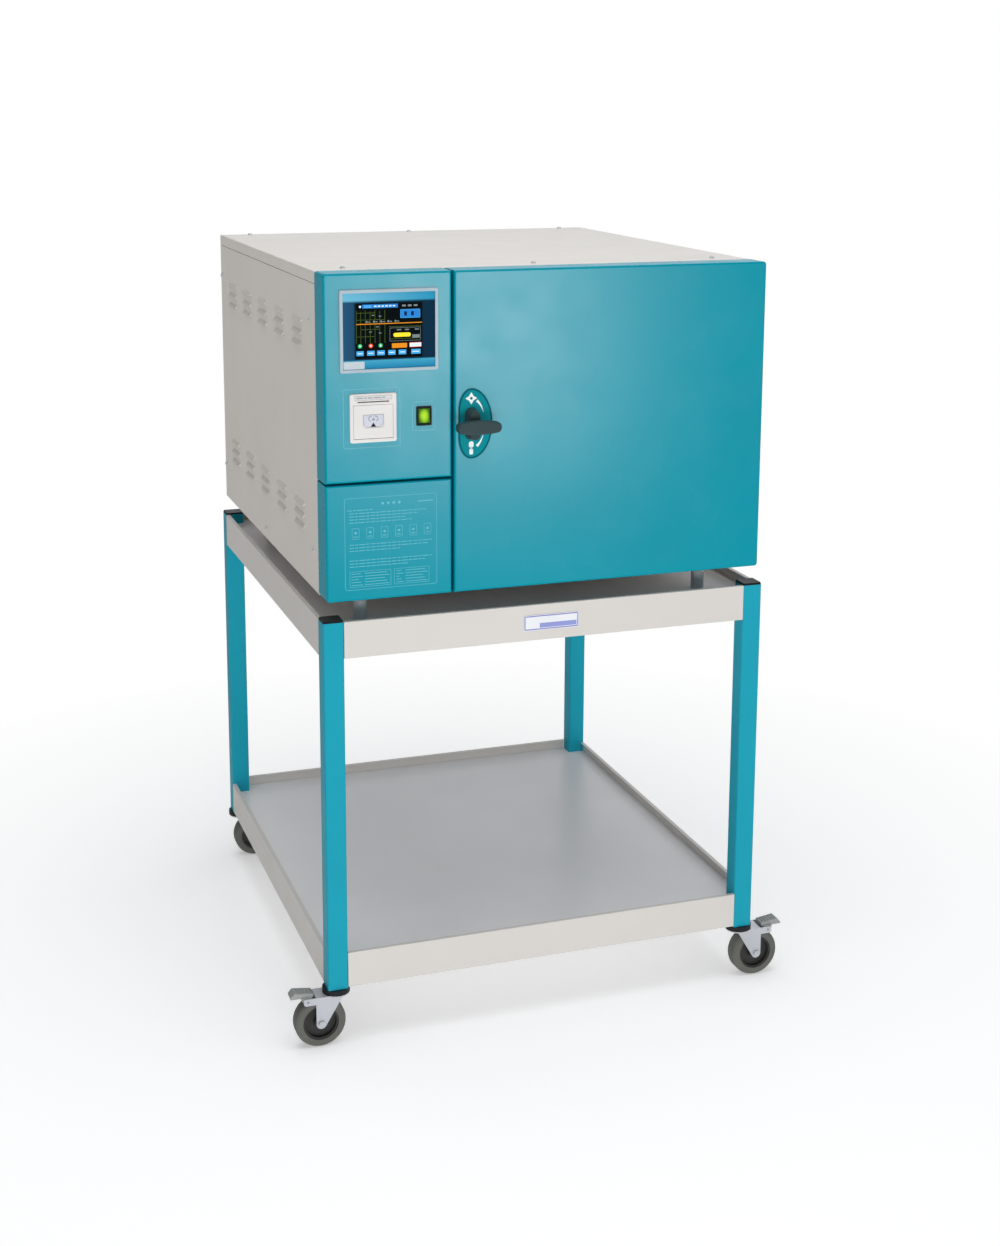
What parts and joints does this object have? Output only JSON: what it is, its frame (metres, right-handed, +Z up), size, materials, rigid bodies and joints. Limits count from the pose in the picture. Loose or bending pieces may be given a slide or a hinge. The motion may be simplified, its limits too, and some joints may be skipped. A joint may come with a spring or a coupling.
{
  "type": "ethylene oxide sterilizer",
  "caption": "Cabinet gas sterilizer with a square chamber, side-hinged door, T-handle latch, touch screen and strip printer, standing on a wheeled steel cart with a lower shelf.",
  "frame": {"origin": "on the floor under the middle of the cart", "axes": "+X to the operator's right, +Y from the door to the back, +Z up"},
  "size_m": [1.044, 1.082, 1.4935],
  "materials": {
    "teal_paint": "smooth semi-gloss powder coat",
    "cart_teal": "semi-gloss powder coat",
    "case_paint": "fine-texture powder coat",
    "rail_paint": "semi-gloss powder coat",
    "tray_grey": "satin grey powder coat",
    "stainless": "brushed",
    "insulation": "mineral wool in foil",
    "pump_iron": "painted casting",
    "zinc": "bright zinc plate",
    "steel": "machined steel",
    "black_plastic": "moulded",
    "pedal_grey": "moulded, ribbed",
    "tyre_grey": "matt rubber",
    "wheel_core": "moulded polyamide",
    "bezel_silver": "satin moulding",
    "screen": "coated touch panel",
    "printer_ivory": "satin moulding",
    "paper": "thermal paper",
    "rocker_green": "lit translucent green",
    "silicone": "moulded silicone",
    "handle_grey": "moulded glass-filled polyamide",
    "escutcheon_teal": "printed plate",
    "plate_white": "anodised",
    "brass": "turned"
  },
  "bodies": {
    "machine": {"control_panel": "teal_paint", "service_panel": "teal_paint", "cart_legs": "cart_teal", "side_panel_left": "case_paint", "side_panel_right": "case_paint", "top_cover": "case_paint", "rear_panel": "case_paint", "front_frame": "case_paint", "machine_base": "case_paint", "upper_rails": "rail_paint", "lower_rails": "rail_paint", "upper_tray": "tray_grey", "lower_shelf": "tray_grey", "chamber": "stainless", "chamber_shelf": "stainless", "shelf_runners": "stainless", "insulation_jacket": "insulation", "vacuum_pump": "pump_iron", "hinge_brackets": "zinc", "hinge_pins": "steel", "latch_keeper": "steel", "levelling_feet": "steel", "cover_screws": "steel", "leg_caps": "black_plastic", "caster_mounts": "black_plastic", "switch_bezel": "black_plastic", "power_inlet": "black_plastic", "screen_bezel": "bezel_silver", "screen_glass": "screen", "printer_housing": "printer_ivory", "paper_roll": "paper", "name_plate": "plate_white", "exhaust_outlet": "brass"},
    "door": {"door_shell": "teal_paint", "door_inner_plate": "stainless", "door_gasket": "silicone", "hinge_leaves": "zinc", "handle_escutcheon": "escutcheon_teal"},
    "handle": {"door_handle": "handle_grey", "handle_spindle": "steel", "latch_pawl": "steel"},
    "lid": {"printer_lid": "printer_ivory"},
    "rocker": {"rocker_button": "rocker_green"},
    "swivel_front_left": {"caster_fork_front_left": "zinc"},
    "wheel_front_left": {"caster_wheel_front_left": "wheel_core", "caster_tyre_front_left": "tyre_grey"},
    "pedal_front_left": {"brake_pedal_front_left": "pedal_grey"},
    "swivel_front_right": {"caster_fork_front_right": "zinc"},
    "wheel_front_right": {"caster_wheel_front_right": "wheel_core", "caster_tyre_front_right": "tyre_grey"},
    "pedal_front_right": {"brake_pedal_front_right": "pedal_grey"},
    "swivel_back_left": {"caster_fork_back_left": "zinc"},
    "wheel_back_left": {"caster_wheel_back_left": "wheel_core", "caster_tyre_back_left": "tyre_grey"},
    "pedal_back_left": {"brake_pedal_back_left": "pedal_grey"},
    "swivel_back_right": {"caster_fork_back_right": "zinc"},
    "wheel_back_right": {"caster_wheel_back_right": "wheel_core", "caster_tyre_back_right": "tyre_grey"},
    "pedal_back_right": {"brake_pedal_back_right": "pedal_grey"}
  },
  "joints": [
    {"name": "door_hinge", "type": "hinge", "parent": "machine", "child": "door", "pos_m": [0.433, -0.442, 1.1875], "axis": [0, 0, 1], "range_deg": [0, 110]},
    {"name": "handle_turn", "type": "hinge", "parent": "door", "child": "handle", "pos_m": [-0.162, -0.486, 1.206], "axis": [0, -1, 0], "range_deg": [-90, 90]},
    {"name": "printer_lid_hinge", "type": "hinge", "parent": "machine", "child": "lid", "pos_m": [-0.3505, -0.489, 1.191], "axis": [1, 0, 0], "range_deg": [0, 85]},
    {"name": "power_rocker", "type": "hinge", "parent": "machine", "child": "rocker", "pos_m": [-0.2535, -0.486, 1.2255], "axis": [1, 0, 0], "range_deg": [0, 14]},
    {"name": "swivel_front_left_turn", "type": "hinge", "parent": "machine", "child": "swivel_front_left", "pos_m": [-0.43, -0.47, 0.103], "axis": [0, 0, 1], "continuous": true},
    {"name": "wheel_front_left_roll", "type": "hinge", "parent": "swivel_front_left", "child": "wheel_front_left", "pos_m": [-0.464, -0.47, 0.05], "axis": [0, 1, 0], "continuous": true},
    {"name": "pedal_front_left_press", "type": "hinge", "parent": "swivel_front_left", "child": "pedal_front_left", "pos_m": [-0.49, -0.47, 0.0985], "axis": [0, -1, 0], "range_deg": [0, 10]},
    {"name": "swivel_front_right_turn", "type": "hinge", "parent": "machine", "child": "swivel_front_right", "pos_m": [0.43, -0.47, 0.103], "axis": [0, 0, 1], "continuous": true},
    {"name": "wheel_front_right_roll", "type": "hinge", "parent": "swivel_front_right", "child": "wheel_front_right", "pos_m": [0.464, -0.47, 0.05], "axis": [0, 1, 0], "continuous": true},
    {"name": "pedal_front_right_press", "type": "hinge", "parent": "swivel_front_right", "child": "pedal_front_right", "pos_m": [0.49, -0.47, 0.0985], "axis": [0, 1, 0], "range_deg": [0, 10]},
    {"name": "swivel_back_left_turn", "type": "hinge", "parent": "machine", "child": "swivel_back_left", "pos_m": [-0.43, 0.47, 0.103], "axis": [0, 0, 1], "continuous": true},
    {"name": "wheel_back_left_roll", "type": "hinge", "parent": "swivel_back_left", "child": "wheel_back_left", "pos_m": [-0.396, 0.47, 0.05], "axis": [0, 1, 0], "continuous": true},
    {"name": "pedal_back_left_press", "type": "hinge", "parent": "swivel_back_left", "child": "pedal_back_left", "pos_m": [-0.37, 0.47, 0.0985], "axis": [0, 1, 0], "range_deg": [0, 10]},
    {"name": "swivel_back_right_turn", "type": "hinge", "parent": "machine", "child": "swivel_back_right", "pos_m": [0.43, 0.47, 0.103], "axis": [0, 0, 1], "continuous": true},
    {"name": "wheel_back_right_roll", "type": "hinge", "parent": "swivel_back_right", "child": "wheel_back_right", "pos_m": [0.396, 0.47, 0.05], "axis": [0, 1, 0], "continuous": true},
    {"name": "pedal_back_right_press", "type": "hinge", "parent": "swivel_back_right", "child": "pedal_back_right", "pos_m": [0.37, 0.47, 0.0985], "axis": [0, -1, 0], "range_deg": [0, 10]}
  ]
}
